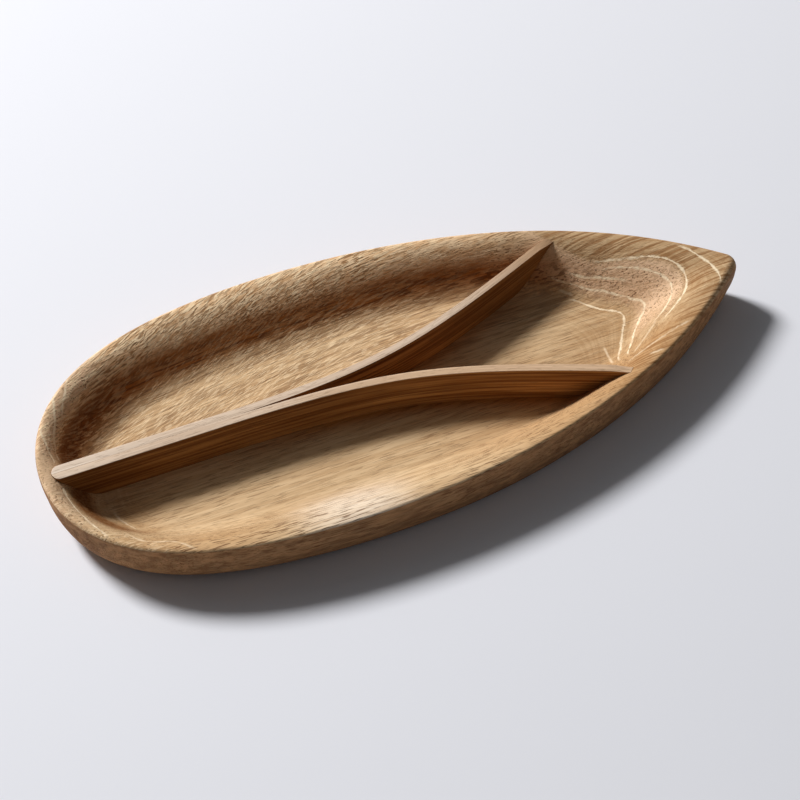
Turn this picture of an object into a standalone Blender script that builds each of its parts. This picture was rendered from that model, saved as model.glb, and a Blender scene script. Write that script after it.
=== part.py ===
# Leaf-shaped desk tray: a dish carved from one oak board, with two thin bent dividers
# glued side by side into a groove in its floor, where they part like a fork.
# Lengths are in metres. X runs from the round stern to the pointed bow, Y from front to
# back and Z up. The origin is under the middle of the tray, on the surface it stands on.

import math

import bmesh
import bpy
import numpy as np

# Plan of the dish, half of it, mirrored about the X axis
STERN_LENGTH = 0.1098
BOW_LENGTH = 0.1746
BEAM = 0.1195
TIP_RADIUS = 0.0049
STERN_FULLNESS_SHARE = 0.2055
BOW_FULLNESS_SHARE = 0.243
POINT_FULLNESS_SHARE = 0.061

# Section of the dish
FLOOR_THICKNESS = 0.005
HOLLOW_DEPTH = 0.017
RIM_LAND = 0.0003
RIM_ROUND = 0.0012
TIP_ROUND = 0.0034
TIP_ROUND_DROP = 0.0048
TIP_ROUND_EASE_SHARE = 9.0
WALL_RUN = 0.0262
WALL_RUN_SHARES = (0.58, 1.0, 0.93, 0.79, 2.29)
WALL_LEAN_SHARE = 1.09
VALLEY_BLEND = 0.0085

# Outside of the dish, whose foot is drawn in under the rim: shares at even steps round it
UNDERCUT = 0.010
UNDERCUT_SHARES = (1.0, 1.0, 0.943, 0.417, 0.426)
FOOT_ROUND = 0.010
FOOT_ROUND_SHARES = (1.84, 1.95, 1.03, 1.78, 1.70)
GIRTH_EASE_SHARE = 0.35
BASE_REACH_SHARE = 0.85
PROW_RAKE = 0.003
PROW_RAKE_EASE_SHARE = 20.0

# Dividers: two bent strips, mirrored about the X axis
STRIP_THICKNESS = 0.003
NOSE_SETBACK = 0.0045
OUTER_END_SETBACK = 0.0040
INNER_END_SETBACK = 0.0053
JOINED_LENGTH = 0.0775
FORK_STATION = 0.1395
BEND_LENGTH = 0.020
SPLAY_ANGLE = math.radians(23.6)
GROOVE_DEPTH = 0.0015

# Fit of glued pieces, how far a cutter runs past what it cuts, and what counts as one point
CLEARANCE = 0.0003
OVERRUN = 0.003
WELD_DISTANCE = 0.000001
SHARP_ANGLE = math.radians(35)

# Counts of steps in the faceted surfaces
STERN_STEPS = 24
BOW_STEPS = 34
TIP_STEPS = 4
ROUND_STEPS = 4
WALL_STEPS = 13
NOSE_STEPS = 5
STRIP_STEPS = 44
FINE_STEPS = 600

HEIGHT = FLOOR_THICKNESS + HOLLOW_DEPTH
COLLECTION_NAME = "divided_leaf_tray"


def stern_curve(steps):
    """Half plan of the round end: an ellipse, filled out towards the stern."""
    angle = np.linspace(math.pi / 2, 0.0, steps + 1)
    share = np.sin(angle)
    x = STERN_LENGTH * (1.0 - share)
    y = BEAM / 2 * np.cos(angle) * (1.0 + STERN_FULLNESS_SHARE * share**2)
    return x, y


def bow_curve(steps, reach_share=1.0):
    """Half plan of the pointed end: a parabola, filled out towards the bow."""
    share = np.linspace(0.0, reach_share, steps + 1)
    fullness = 1.0 + BOW_FULLNESS_SHARE * share**2 + POINT_FULLNESS_SHARE * share**4
    x = STERN_LENGTH + BOW_LENGTH * share
    y = BEAM / 2 * (1.0 - share**2) * fullness
    return x, y


def inward_normals(x, y):
    """Unit normals of a half plan that point at the X axis."""
    dx = np.gradient(x)
    dy = np.gradient(y)
    length = np.hypot(dx, dy)
    return dy / length, -dx / length


def tip_start_share():
    """Share of the bow where a circle of the tip's radius touches both sides."""
    x, y = bow_curve(FINE_STEPS)
    normal_y = inward_normals(x, y)[1]
    to_axis = y / -normal_y
    share = np.linspace(0.0, 1.0, FINE_STEPS + 1)
    return float(np.interp(-TIP_RADIUS, -to_axis, share))


def half_plan(stern_steps, bow_steps, tip_steps):
    """Points and inward normals of the rim's back half, from stern to tip."""
    stern_x, stern_y = stern_curve(stern_steps)
    bow_x, bow_y = bow_curve(bow_steps, tip_start_share())
    x = np.concatenate([stern_x, bow_x[1:]])
    y = np.concatenate([stern_y, bow_y[1:]])
    normal_x, normal_y = inward_normals(x, y)
    normal_x[0], normal_y[0] = 1.0, 0.0

    # the tip is an arc about the point where the last normal meets the axis
    start_angle = math.asin(min(1.0, y[-1] / TIP_RADIUS))
    centre_x = x[-1] - TIP_RADIUS * math.cos(start_angle)
    angle = np.linspace(start_angle, 0.0, tip_steps + 1)
    x = np.concatenate([x[:-1], centre_x + TIP_RADIUS * np.cos(angle)])
    y = np.concatenate([y[:-1], TIP_RADIUS * np.sin(angle)])
    normal_x = np.concatenate([normal_x[:-1], -np.cos(angle)])
    normal_y = np.concatenate([normal_y[:-1], -np.sin(angle)])
    return x, y, normal_x, normal_y


RIM_X, RIM_Y, NORMAL_X, NORMAL_Y = half_plan(STERN_STEPS, BOW_STEPS, TIP_STEPS)
FINE_X, FINE_Y = half_plan(FINE_STEPS, FINE_STEPS, FINE_STEPS)[:2]
LENGTH = float(RIM_X[-1])


def distance_to_side(x, y, side):
    """Plan distance from points to the rim's back half (side 1) or front half (-1)."""
    start = np.stack([FINE_X[:-1], side * FINE_Y[:-1]], axis=-1)
    run = np.stack([np.diff(FINE_X), side * np.diff(FINE_Y)], axis=-1)
    offset = np.stack([x, y], axis=-1)[..., None, :] - start
    along = (offset * run).sum(axis=-1) / (run * run).sum(axis=-1)
    nearest = offset - np.clip(along, 0.0, 1.0)[..., None] * run
    return np.hypot(nearest[..., 0], nearest[..., 1]).min(axis=-1)


def rim_distance(x, y):
    """Distance to the rim, with the valley between the two sides rounded off."""
    back = distance_to_side(x, y, 1.0)
    front = distance_to_side(x, y, -1.0)
    overlap = np.clip(1.0 - np.abs(back - front) / VALLEY_BLEND, 0.0, 1.0)
    return np.minimum(back, front) - overlap**2 * VALLEY_BLEND / 4


def smooth_curve(shares, way):
    """A smooth curve through shares at even steps of a way from 0 to 1."""
    stations = np.linspace(0.0, 1.0, len(shares))
    return np.polyval(np.polyfit(stations, shares, len(shares) - 1), way)


def wall_run(x):
    """Run of the hollow's wall at a station."""
    return WALL_RUN * smooth_curve(WALL_RUN_SHARES, x / LENGTH)


def hollow_height(x, y):
    """Height of the carved surface: half a cosine wave from the rim to the floor."""
    share = np.clip((rim_distance(x, y) - RIM_LAND) / wall_run(x), 0.0, 1.0)
    return HEIGHT - HOLLOW_DEPTH * (1.0 - np.cos(math.pi * share**WALL_LEAN_SHARE)) / 2


def closed_ring(x, y, z):
    """One loop round the tray from its back half: stern to tip and back again."""
    back = np.stack([x, y, z], axis=-1)
    front = back[-2:0:-1] * (1.0, -1.0, 1.0)
    return np.concatenate([back, front])


def inset_ring(inset, z, rake=0.0):
    """The rim's loop moved inward by an inset and sternward by a rake, at a height."""
    x = RIM_X + NORMAL_X * inset - rake
    y = RIM_Y + NORMAL_Y * inset
    y[0] = y[-1] = 0.0
    return closed_ring(x, y, z + np.zeros_like(x))


def distance_to_axis():
    """Distance from each rim point along its normal to the X axis."""
    to_axis = RIM_Y[1:] / np.maximum(-NORMAL_Y[1:], np.finfo(float).tiny)
    to_axis = np.concatenate([to_axis[:1], to_axis])
    to_axis[-TIP_STEPS - 1 :] = TIP_RADIUS
    return to_axis


def foot_profile():
    """How far the foot is drawn in, and up to what height, round the rim from stern to tip."""
    way = np.append(0.0, np.cumsum(np.hypot(np.diff(RIM_X), np.diff(RIM_Y))))
    way = (way / way[-1]) ** GIRTH_EASE_SHARE
    undercut = UNDERCUT * smooth_curve(UNDERCUT_SHARES, way)
    return undercut, FOOT_ROUND * smooth_curve(FOOT_ROUND_SHARES, way)


def dish_rings():
    """Loops of the dish from its base, up the outside, over the rim and down inside."""
    rings = []
    to_axis = distance_to_axis()
    tip_share = (RIM_X / LENGTH) ** TIP_ROUND_EASE_SHARE
    rim_inset = RIM_ROUND + (TIP_ROUND - RIM_ROUND) * tip_share
    rim_drop = RIM_ROUND + (TIP_ROUND_DROP - RIM_ROUND) * tip_share
    undercut, foot = foot_profile()
    undercut = np.minimum(undercut, BASE_REACH_SHARE * to_axis)
    foot = np.minimum(foot, HEIGHT - rim_drop - RIM_LAND)
    rake = PROW_RAKE * (RIM_X / LENGTH) ** PROW_RAKE_EASE_SHARE
    for angle in np.linspace(0.0, math.pi / 2, ROUND_STEPS + 1):
        low_share = 1.0 - math.sin(angle)
        rings.append(inset_ring(undercut * low_share, foot * (1.0 - math.cos(angle)), rake * low_share))
    for angle in np.linspace(0.0, math.pi / 2, ROUND_STEPS + 1):
        height = HEIGHT - rim_drop * (1.0 - math.sin(angle))
        rings.append(inset_ring(rim_inset * (1.0 - math.cos(angle)), height))

    # inside, each loop lies between the rounded edge and the foot of the wall, or the axis
    wall_foot = np.minimum(RIM_LAND + wall_run(RIM_X), to_axis)
    for share in np.linspace(0.0, 1.0, WALL_STEPS + 1)[1:]:
        inset = rim_inset + (wall_foot - rim_inset) * share
        x = RIM_X + NORMAL_X * inset
        y = np.maximum(RIM_Y + NORMAL_Y * inset, 0.0)
        y[0] = y[-1] = 0.0
        rings.append(closed_ring(x, y, hollow_height(x, y)))
    axis_x = RIM_X + NORMAL_X * to_axis
    rings.append(closed_ring(axis_x, 0.0 * axis_x, hollow_height(axis_x, 0.0 * axis_x)))
    return rings


def strip_offset(x):
    """How far a strip's inner face has bent away from the axis, and its slope."""
    bend = (x - FORK_STATION) / BEND_LENGTH
    stem = (JOINED_LENGTH - FORK_STATION) / BEND_LENGTH
    rise = math.tan(SPLAY_ANGLE)
    offset = rise * BEND_LENGTH * (np.log1p(np.exp(bend)) - math.log1p(math.exp(stem)))
    return np.maximum(offset, 0.0), np.where(bend > stem, rise / (1.0 + np.exp(-bend)), 0.0)


def strip_faces(x, gap):
    """Plan of a strip's inner and outer faces, widened all round by a gap."""
    offset, slope = strip_offset(x)
    length = np.hypot(1.0, slope)
    faces = []
    for across in (-gap, STRIP_THICKNESS + gap):
        face_x = x - slope / length * across
        face_y = CLEARANCE / 2 + offset + across / length
        faces.append((face_x, face_y))
    return faces


def strip_plan(gap):
    """Inner and outer edges of a strip seen from above, from its nose to its end."""
    radius = STRIP_THICKNESS + CLEARANCE / 2 + gap
    nose_x = NOSE_SETBACK - gap
    angle = np.linspace(math.asin(max(0.0, CLEARANCE / 2 - gap) / radius), math.pi / 2, NOSE_STEPS + 1)
    nose_outer_x = nose_x + radius * (1.0 - np.cos(angle))
    nose_outer_y = radius * np.sin(angle)
    nose_inner_y = np.full_like(angle, CLEARANCE / 2 - gap)

    # past the nose each face runs on until it is its setback from the rim
    fine = np.linspace(nose_outer_x[-1], LENGTH, FINE_STEPS)
    setbacks = (INNER_END_SETBACK - gap, OUTER_END_SETBACK - gap)
    edges = []
    for (face_x, face_y), setback in zip(strip_faces(fine, gap), setbacks):
        room = distance_to_side(face_x, face_y, 1.0)
        inside = np.argmax(room < setback)
        end = np.interp(setback, room[[inside, inside - 1]], fine[[inside, inside - 1]])
        edges.append(np.linspace(nose_outer_x[-1], end, STRIP_STEPS + 1)[1:])
    inner_x, inner_y = strip_faces(edges[0], gap)[0]
    outer_x, outer_y = strip_faces(edges[1], gap)[1]
    inner = np.stack([np.append(nose_outer_x, inner_x), np.append(nose_inner_y, inner_y)], axis=-1)
    outer = np.stack([np.append(nose_outer_x, outer_x), np.append(nose_outer_y, outer_y)], axis=-1)
    return inner, outer


def strip_loops(side, gap, sink, top):
    """Four-cornered sections of a strip; its foot lies this deep under the hollow."""
    corners = []
    for edge in strip_plan(gap):
        foot = hollow_height(edge[:, 0], edge[:, 1]) - sink
        head = np.full_like(foot, top)
        corners.append([np.stack([edge[:, 0], side * edge[:, 1], z], axis=-1) for z in (foot, head)])
    (inner_foot, inner_head), (outer_foot, outer_head) = corners
    return np.stack([inner_foot, outer_foot, outer_head, inner_head], axis=1)


def loft(name, loops, capped_ends):
    """A closed body of triangles between loops, with flat caps on the named ends."""
    shape = bmesh.new()
    rows = []
    for loop in loops:
        rows.append([shape.verts.new((x - LENGTH / 2, y, z)) for x, y, z in loop])
    for row, next_row in zip(rows, rows[1:]):
        for index in range(len(row)):
            after = (index + 1) % len(row)
            shape.faces.new((row[index], row[after], next_row[after], next_row[index]))
    bmesh.ops.triangulate(shape, faces=shape.faces)
    for end in capped_ends:
        shape.faces.new(rows[end])
    bmesh.ops.remove_doubles(shape, verts=shape.verts, dist=WELD_DISTANCE)
    bmesh.ops.recalc_face_normals(shape, faces=shape.faces)
    mesh = bpy.data.meshes.new(name)
    shape.to_mesh(mesh)
    shape.free()
    return bpy.data.objects.new(name, mesh)


def wood_material(name, colour, roughness):
    """A plain wood colour for one kind of piece."""
    material = bpy.data.materials.new(name)
    material.use_nodes = True
    shader = material.node_tree.nodes["Principled BSDF"]
    shader.inputs["Base Color"].default_value = (*colour, 1.0)
    shader.inputs["Roughness"].default_value = roughness
    shader.inputs["Metallic"].default_value = 0.0
    return material


def new_collection(name):
    """A collection linked to the scene."""
    collection = bpy.data.collections.new(name)
    bpy.context.scene.collection.children.link(collection)
    return collection


def shade(piece):
    """Smooth shading with sharp edges kept."""
    piece.data.shade_smooth()
    piece.data.set_sharp_from_angle(angle=SHARP_ANGLE)


def build_strip(name, side, material, parts):
    """One bent divider, standing in its groove and level with the rim."""
    loops = strip_loops(side, 0.0, GROOVE_DEPTH - CLEARANCE, HEIGHT)
    strip = loft(name, loops, [-1])
    strip.data.materials.append(material)
    shade(strip)
    parts.objects.link(strip)


def build_groove_cutter(name, side, cutters):
    """The room that one divider needs in the dish, with its clearance."""
    loops = strip_loops(side, CLEARANCE, GROOVE_DEPTH, HEIGHT + OVERRUN)
    cutter = loft(name, loops, [0, -1])
    cutter.hide_render = True
    cutter.display_type = "WIRE"
    cutters.objects.link(cutter)
    return cutter


def build_dish(material, parts, cutters):
    """The carved dish, with a groove for each divider."""
    dish = loft("carved_dish", dish_rings(), [0])
    dish.data.materials.append(material)
    shade(dish)
    parts.objects.link(dish)
    for name, side in (("back_groove_cutter", 1.0), ("front_groove_cutter", -1.0)):
        groove = dish.modifiers.new(name, "BOOLEAN")
        groove.operation = "DIFFERENCE"
        groove.solver = "EXACT"
        groove.object = build_groove_cutter(name, side, cutters)


def main():
    for piece in list(bpy.data.objects):
        bpy.data.objects.remove(piece, do_unlink=True)
    parts = new_collection(COLLECTION_NAME)
    cutters = new_collection("cutters")
    oak = wood_material("oiled_oak", (0.36, 0.21, 0.10), 0.55)
    bent_wood = wood_material("pale_bent_strip", (0.55, 0.37, 0.24), 0.6)
    build_dish(oak, parts, cutters)
    build_strip("back_divider", 1.0, bent_wood, parts)
    build_strip("front_divider", -1.0, bent_wood, parts)


main()
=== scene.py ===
# Looks of a leaf-shaped desk tray: a dish carved from one oak board, and two thin bent
# strips that stand in its floor and part like a fork. Lengths are in metres. X runs from
# the round stern to the pointed bow, Y from front to back, and Z is up from the table.

import functools
import math

import bmesh
import bpy
import numpy as np
from mathutils import Matrix, Vector


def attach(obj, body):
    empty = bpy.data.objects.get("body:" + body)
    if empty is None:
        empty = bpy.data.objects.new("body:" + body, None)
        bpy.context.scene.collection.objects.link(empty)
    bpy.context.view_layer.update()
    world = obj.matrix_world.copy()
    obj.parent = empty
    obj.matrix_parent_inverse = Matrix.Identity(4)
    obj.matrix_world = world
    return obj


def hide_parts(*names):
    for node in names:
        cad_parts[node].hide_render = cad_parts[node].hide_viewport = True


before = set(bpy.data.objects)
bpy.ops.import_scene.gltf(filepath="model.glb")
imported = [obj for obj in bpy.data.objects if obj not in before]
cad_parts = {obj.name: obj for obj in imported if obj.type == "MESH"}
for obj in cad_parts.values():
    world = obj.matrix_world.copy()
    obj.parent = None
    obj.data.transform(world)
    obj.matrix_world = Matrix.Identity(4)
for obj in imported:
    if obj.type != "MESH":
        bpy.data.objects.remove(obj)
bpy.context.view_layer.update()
print("frame loaded:", ", ".join(sorted(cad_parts)))

millimetres = 1000.0  # in a metre
mergeDistance = 0.000002
sharpAngle = math.radians(40)
tiny = 1e-9


# The dish: its plan, the section of its hollow and how finely its surface is worked out
dish = {
    "sternLength": 0.1098,
    "bowLength": 0.1746,
    "beam": 0.1195,
    "tipRadius": 0.0049,
    "sternFullness": 0.2055,
    "bowFullness": 0.243,
    "pointFullness": 0.061,
    "height": 0.022,
    "hollowDepth": 0.017,
    "rimLand": 0.0003,
    "rimRound": 0.0010,
    "sternRimRound": 0.0018,
    "sternRimReach": 0.3,  # of the tray's length
    "tipRound": 0.0034,
    "tipRoundDrop": 0.0048,
    "tipRoundEase": 9.0,
    "brink": 1.02,  # where the wall starts, in widths of the rim's round
    "wallRuns": (0.0152, 0.0262, 0.02437, 0.0207, 0.0600),
    "wallLean": 1.09,
    "valleyBlend": 0.0085,
    "undercuts": (0.0100, 0.0100, 0.00943, 0.00417, 0.00426),
    "footRounds": (0.0184, 0.0195, 0.0103, 0.0178, 0.0170),
    "girthEase": 0.35,
    "baseReach": 0.85,
    "prowRake": 0.003,
    "prowRakeEase": 20.0,
    "sternSteps": 100,
    "bowSteps": 190,
    "tipSteps": 9,
    "roundSteps": 7,
    "wallSteps": 42,
    "floorSteps": 15,
    "fitSteps": 600,
    "guideSteps": (500, 700, 40),
    "waveHeight": 0.00012,
    "waveFade": 0.125,  # of the hollow's depth
    "meander": (205.0, 1.3, 150.0),
    "crossings": ((120.0, 290.0, 0.7), (370.0, -160.0, 2.1)),
}


def sternCurve(steps):
    # an ellipse, made fuller by a share of the sine squared
    angle = np.linspace(math.pi / 2, 0.0, steps + 1)
    x = dish["sternLength"] * (1.0 - np.sin(angle))
    y = dish["beam"] / 2 * np.cos(angle) * (1.0 + dish["sternFullness"] * np.sin(angle) ** 2)
    return x, y


def bowCurve(steps, reach=1.0):
    # a parabola, made fuller by shares of the way's square and fourth power
    way = np.linspace(0.0, reach, steps + 1)
    fullness = 1.0 + dish["bowFullness"] * way**2 + dish["pointFullness"] * way**4
    return dish["sternLength"] + dish["bowLength"] * way, dish["beam"] / 2 * (1.0 - way**2) * fullness


def inwardNormals(x, y):
    # the tangent turned a quarter towards the axis
    dx, dy = np.gradient(x), np.gradient(y)
    length = np.hypot(dx, dy)
    return dy / length, -dx / length


def halfPlan(sternSteps, bowSteps, tipSteps):
    # stern and bow curves, closed by an arc where a circle of the tip's radius fits both sides
    radius = dish["tipRadius"]
    fineX, fineY = bowCurve(dish["fitSteps"])
    fit = fineY / -inwardNormals(fineX, fineY)[1]
    reach = float(np.interp(-radius, -fit, np.linspace(0.0, 1.0, dish["fitSteps"] + 1)))
    sternX, sternY = sternCurve(sternSteps)
    bowX, bowY = bowCurve(bowSteps, reach)
    x, y = np.append(sternX, bowX[1:]), np.append(sternY, bowY[1:])
    normalX, normalY = inwardNormals(x, y)
    normalX[0], normalY[0] = 1.0, 0.0
    start = math.asin(min(1.0, y[-1] / radius))
    centre = x[-1] - radius * math.cos(start)
    angle = np.linspace(start, 0.0, tipSteps + 1)
    x = np.append(x[:-1], centre + radius * np.cos(angle))
    y = np.append(y[:-1], radius * np.sin(angle))
    normalX = np.append(normalX[:-1], -np.cos(angle))
    normalY = np.append(normalY[:-1], -np.sin(angle))
    return x, y, normalX, normalY


rimX, rimY, rimNormalX, rimNormalY = halfPlan(dish["sternSteps"], dish["bowSteps"], dish["tipSteps"])
guideX, guideY = halfPlan(*dish["guideSteps"])[:2]
trayLength = float(rimX[-1])


def sideDistance(x, y, side, atOnce=1500):
    # plan distance to the nearest of the short straights that make up one side of the rim
    points = np.stack([np.ravel(x), np.ravel(y) * side], axis=-1)
    start = np.stack([guideX[:-1], guideY[:-1]], axis=-1)
    run = np.stack([np.diff(guideX), np.diff(guideY)], axis=-1)
    square = (run * run).sum(axis=-1)
    nearest = []
    for part in np.array_split(points, max(1, len(points) // atOnce)):
        offset = part[:, None, :] - start
        along = np.clip((offset * run).sum(axis=-1) / square, 0.0, 1.0)
        left = offset - along[..., None] * run
        nearest.append(np.sqrt((left * left).sum(axis=-1).min(axis=-1)))
    return np.concatenate(nearest).reshape(np.shape(x))


def smoothCurve(values, way):
    # the quartic through five values at even steps of a way from 0 to 1
    return np.polyval(np.polyfit(np.linspace(0.0, 1.0, len(values)), values, len(values) - 1), way)


def wallRun(x):
    # how far the hollow's wall runs in from the rim, from stern to tip
    return smoothCurve(dish["wallRuns"], x / trayLength)


def hollowHeight(x, y):
    # the distance to the rim, rounded in the valley between the two sides by a parabola,
    # drives half a cosine wave from the rim down to the floor
    back, front = sideDistance(x, y, 1.0), sideDistance(x, y, -1.0)
    overlap = np.clip(1.0 - np.abs(back - front) / dish["valleyBlend"], 0.0, 1.0)
    inward = np.minimum(back, front) - overlap**2 * dish["valleyBlend"] / 4
    share = np.clip((inward - dish["rimLand"]) / wallRun(x), 0.0, 1.0)
    return dish["height"] - dish["hollowDepth"] * (1.0 - np.cos(math.pi * share ** dish["wallLean"])) / 2


def toolWave(x, y):
    # what a hand tool leaves: the mean of one sine wave that meanders and two that cross it,
    # in radians per metre
    rate, swing, swingRate = dish["meander"]
    wave = np.sin(x * rate + swing * np.sin(y * swingRate))
    for rateX, rateY, phase in dish["crossings"]:
        wave = wave + np.sin(x * rateX + y * rateY + phase)
    return dish["waveHeight"] * wave / (1 + len(dish["crossings"]))


def gridMesh(name, grid, capFirst=False, capLast=False):
    # quads between neighbouring rows of a grid whose columns close on themselves
    rows, columns = grid.shape[:2]
    index = np.arange(rows * columns).reshape(rows, columns)
    after = np.roll(index, -1, axis=1)
    quads = np.stack([index[:-1], after[:-1], after[1:], index[1:]], axis=-1).reshape(-1, 4)
    faces = quads.tolist()
    if capFirst:
        faces.append(index[0, ::-1].tolist())
    if capLast:
        faces.append(index[-1].tolist())
    mesh = bpy.data.meshes.new(name)
    mesh.from_pydata(grid.reshape(-1, 3).tolist(), [], faces)
    return mesh


def closeMesh(mesh, cutQuads=False):
    # doubles merged and normals outward, with quads cut into triangles first where asked
    shape = bmesh.new()
    shape.from_mesh(mesh)
    if cutQuads:
        bmesh.ops.triangulate(shape, faces=[face for face in shape.faces if len(face.verts) == 4])
    bmesh.ops.remove_doubles(shape, verts=shape.verts, dist=mergeDistance)
    bmesh.ops.recalc_face_normals(shape, faces=shape.faces)
    shape.to_mesh(mesh)
    shape.free()


def smoothShade(mesh):
    # smooth but for the sharper edges
    mesh.shade_smooth()
    mesh.set_sharp_from_angle(angle=sharpAngle)


def footProfile(toAxis, rimDrop):
    # how far the foot is drawn in, and up to what height, at an eased way round the rim
    way = np.append(0.0, np.cumsum(np.hypot(np.diff(rimX), np.diff(rimY))))
    way = (way / way[-1]) ** dish["girthEase"]
    undercut = np.minimum(smoothCurve(dish["undercuts"], way), dish["baseReach"] * toAxis)
    room = dish["height"] - rimDrop - dish["rimLand"]
    return undercut, np.minimum(smoothCurve(dish["footRounds"], way), room)


def bothSides(values, sign=1.0):
    # the back half's columns, then the front half's from the tip back to the stern
    return np.concatenate([values, sign * values[:, -2:0:-1]], axis=1)


def dishGrid():
    # rows run round the tray: up the outside, over the rim, down the wall and in to the axis
    toAxis = rimY[1:] / np.maximum(-rimNormalY[1:], tiny)
    toAxis = np.append(toAxis[:1], toAxis)
    toAxis[-dish["tipSteps"] - 1 :] = dish["tipRadius"]
    sternward = np.clip(1.0 - rimX / (dish["sternRimReach"] * trayLength), 0.0, 1.0) ** 2
    tipward = (rimX / trayLength) ** dish["tipRoundEase"]
    rimRound = dish["rimRound"] + (dish["sternRimRound"] - dish["rimRound"]) * sternward
    rimInset = rimRound + (dish["tipRound"] - rimRound) * tipward
    rimDrop = rimRound + (dish["tipRoundDrop"] - rimRound) * tipward

    turn = np.linspace(0.0, math.pi / 2, dish["roundSteps"] + 1)[:, None]
    undercut, footRound = footProfile(toAxis, rimDrop)
    lowInset, lowHeight = undercut * (1.0 - np.sin(turn)), footRound * (1.0 - np.cos(turn))
    highInset, highDrop = rimInset * (1.0 - np.cos(turn)), rimDrop * (1.0 - np.sin(turn))
    foot = np.minimum(dish["rimLand"] + wallRun(rimX), toAxis)
    down = np.linspace(0.0, 1.0, dish["wallSteps"] + 1)[:, None]
    across = np.linspace(0.0, 1.0, dish["floorSteps"] + 1)[1:, None]
    brink = rimInset * dish["brink"]
    wallInset = brink + (foot - brink) * down
    innerInset = np.concatenate([wallInset, foot + (toAxis - foot) * across])

    inset = np.concatenate([lowInset, highInset, innerInset])
    low = len(lowInset)
    x = rimX + rimNormalX * inset
    x[:low] -= dish["prowRake"] * (rimX / trayLength) ** dish["prowRakeEase"] * (1.0 - np.sin(turn))
    y = np.maximum(rimY + rimNormalY * inset, 0.0)
    y[:, 0] = y[:, -1] = 0.0
    y[-1] = 0.0
    x, y = bothSides(x), bothSides(y, -1.0)

    # the rim's round is laid over the top of the hollow's wall, so that the two run together
    carved = hollowHeight(x[low:], y[low:])
    depth = (dish["height"] - carved) / dish["hollowDepth"]
    carved = carved + toolWave(x[low:], y[low:]) * np.clip(depth / dish["waveFade"], 0.0, 1.0)
    carved[: len(highDrop)] -= bothSides(highDrop)
    return np.stack([x - trayLength / 2, y, np.concatenate([bothSides(lowHeight), carved])], axis=-1)


# The dividers: two mirrored strips, bent along one soft curve and level with the rim
strips = {
    "thickness": 0.0031,
    "jointGap": 0.00002,
    "noseSetback": 0.0045,
    "outerEndSetback": 0.0040,
    "innerEndSetback": 0.0053,
    "joinedLength": 0.0775,
    "forkStation": 0.1395,
    "frontForkDelay": 0.0046,
    "bendLength": 0.020,
    "splay": math.radians(23.6),
    "grooveDepth": 0.0015,
    "footSink": 0.0012,
    "grooveGap": 0.00008,
    "grooveHead": 0.003,
    "outerEase": 0.00035,
    "innerEase": 0.00002,
    "widestEase": 0.45,  # of the strip's width
    "endEase": 0.009,
    "endLift": 0.00015,
    "grainOffset": 0.01,
    # how far the painted shade along the dividers' feet reaches out from them
    "shadeReach": 6.0,  # millimetres
    "noseSteps": 14,
    "alongSteps": 120,
    "easeSteps": 4,
    "searchSteps": 900,
}


def stripOffset(x, side):
    # none along the joined stem, then the logarithm of one plus an exponential: a bend that
    # turns into a straight splay
    fork = strips["forkStation"] + (strips["frontForkDelay"] if side < 0.0 else 0.0)
    bend = (x - fork) / strips["bendLength"]
    stem = (strips["joinedLength"] - fork) / strips["bendLength"]
    rise = math.tan(strips["splay"])
    offset = rise * strips["bendLength"] * (np.log1p(np.exp(bend)) - math.log1p(math.exp(stem)))
    return np.maximum(offset, 0.0), np.where(bend > stem, rise / (1.0 + np.exp(-bend)), 0.0)


def stripFace(x, across, side):
    # a point at this distance across the strip, square to its bent inner face
    offset, slope = stripOffset(x, side)
    length = np.hypot(1.0, slope)
    return x - slope / length * across, strips["jointGap"] / 2 + offset + across / length


def stripPlan(gap, side):
    # half a circle round the nose, then both faces run on until they are the setback from the rim
    inner = strips["jointGap"] / 2 - gap
    radius = strips["thickness"] + strips["jointGap"] / 2 + gap
    nose = strips["noseSetback"] - gap
    angle = np.linspace(math.asin(max(0.0, inner) / radius), math.pi / 2, strips["noseSteps"] + 1)
    noseX, noseY = nose + radius * (1.0 - np.cos(angle)), radius * np.sin(angle)
    fine = np.linspace(noseX[-1], trayLength, strips["searchSteps"])
    edges = []
    faces = (
        (-gap, np.full_like(noseX, inner), strips["innerEndSetback"] - gap),
        (strips["thickness"] + gap, noseY, strips["outerEndSetback"] - gap),
    )
    for across, startY, setback in faces:
        room = sideDistance(*stripFace(fine, across, side), 1.0)
        last = np.argmax(room < setback)
        end = np.interp(setback, room[[last, last - 1]], fine[[last, last - 1]])
        runX, runY = stripFace(np.linspace(noseX[-1], end, strips["alongSteps"] + 1)[1:], across, side)
        edges.append(np.stack([np.append(noseX, runX), np.append(startY, runY)], axis=-1))
    return edges


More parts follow.
